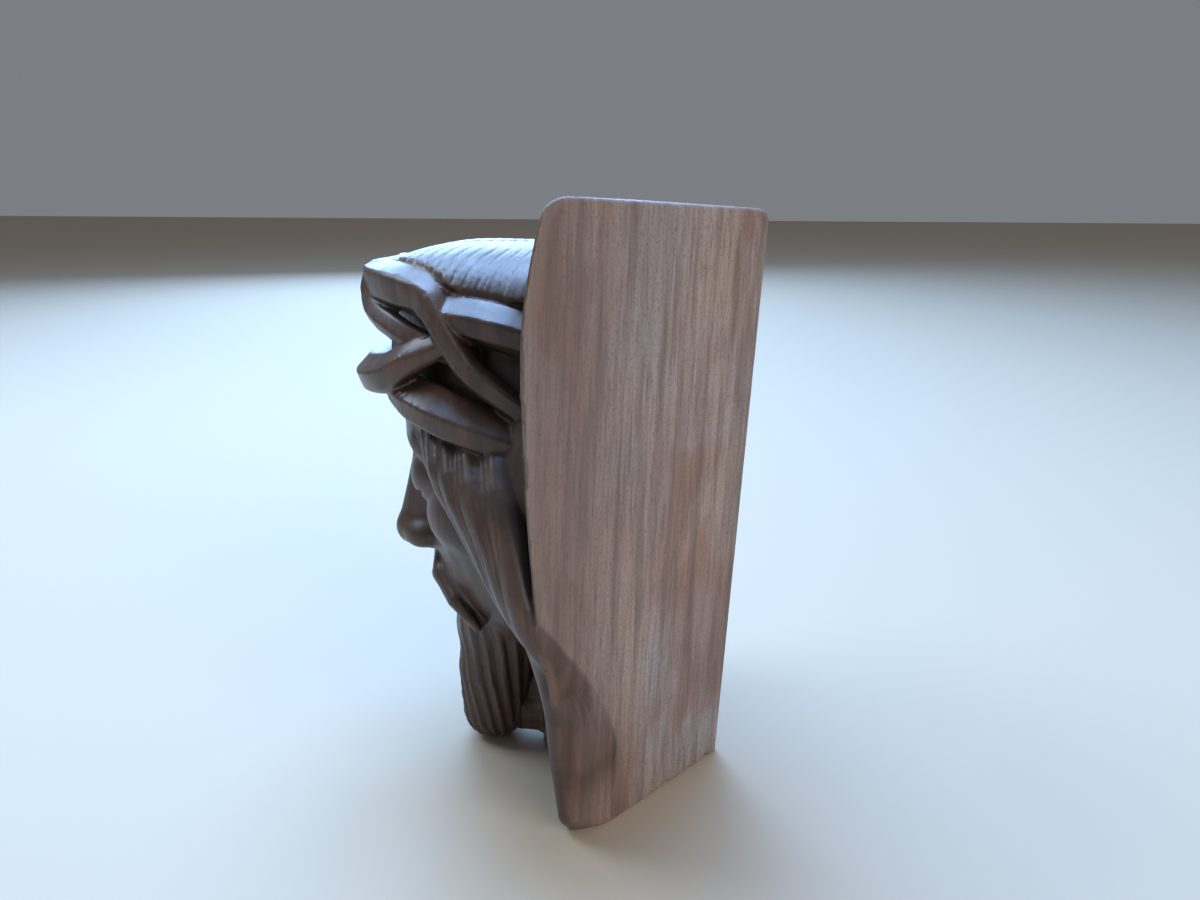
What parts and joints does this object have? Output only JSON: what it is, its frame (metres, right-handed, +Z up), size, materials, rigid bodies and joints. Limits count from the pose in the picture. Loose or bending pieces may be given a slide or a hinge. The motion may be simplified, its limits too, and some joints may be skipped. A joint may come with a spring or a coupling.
{
  "type": "carved christ face",
  "caption": "Folk carving of a bowed, bearded head in a crown of thorns, standing out from a split-log wedge that rests on its own sawn foot.",
  "frame": {"origin": "under the middle of the carving's box, on the surface it stands on", "axes": "+Z up, the face looks along -Y, the figure's own left side is at +X"},
  "size_m": [0.1548, 0.1206, 0.1799],
  "materials": {
    "carved_wood": "stained brown with a satin wax on the carving, drier and lighter on the sawn faces"
  },
  "bodies": {
    "root": {"carved_head_block": "carved_wood"}
  },
  "joints": []
}
